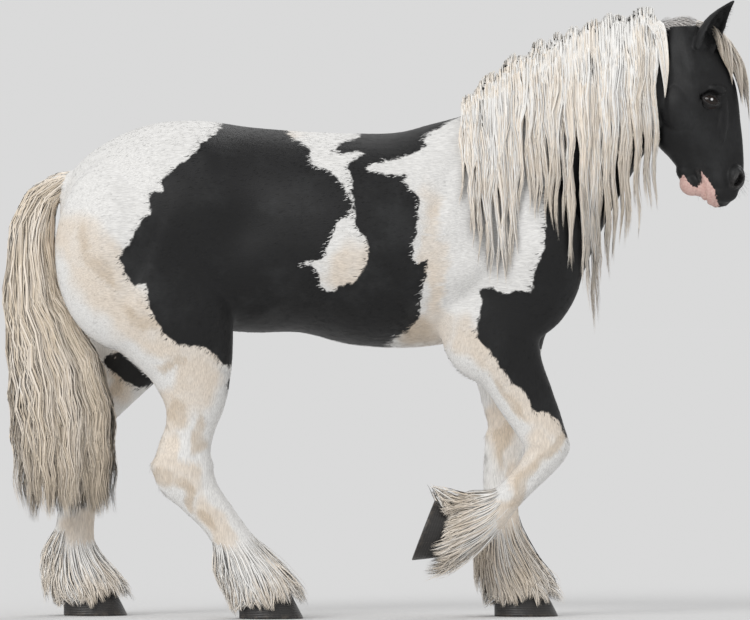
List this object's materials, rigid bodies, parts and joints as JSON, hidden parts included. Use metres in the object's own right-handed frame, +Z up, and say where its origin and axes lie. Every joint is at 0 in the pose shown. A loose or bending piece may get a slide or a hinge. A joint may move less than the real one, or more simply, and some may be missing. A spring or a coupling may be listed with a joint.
{
  "type": "gypsy vanner horse",
  "caption": "Life-size gypsy vanner horse, black and white, standing with one foreleg raised, with long mane, tail and leg feather.",
  "frame": {"origin": "on the floor under the middle of the horse's overall box", "axes": "+X is the way the horse faces, +Y is its left side, +Z is up"},
  "size_m": [2.1737, 0.6283, 1.8139],
  "materials": {
    "coat_white": "short white hair over pink skin",
    "coat_black": "short glossy black hair",
    "long_hair": "long cream and white hair",
    "eye": "wet and glossy",
    "horn": "dark hoof horn, faintly ringed"
  },
  "bodies": {
    "root": {"torso": "coat_white", "neck": "coat_white", "head": "coat_black", "tail": "long_hair", "right_ear": "coat_black", "left_ear": "coat_black", "right_eye": "eye", "left_eye": "eye", "right_thigh": "coat_white", "left_thigh": "coat_white", "right_forearm": "coat_white", "left_forearm": "coat_white", "right_hind_cannon": "long_hair", "left_hind_cannon": "long_hair", "right_front_cannon": "long_hair", "left_front_cannon": "long_hair", "right_hind_hoof": "horn", "left_hind_hoof": "horn", "right_front_hoof": "horn", "left_front_hoof": "horn"}
  },
  "joints": []
}
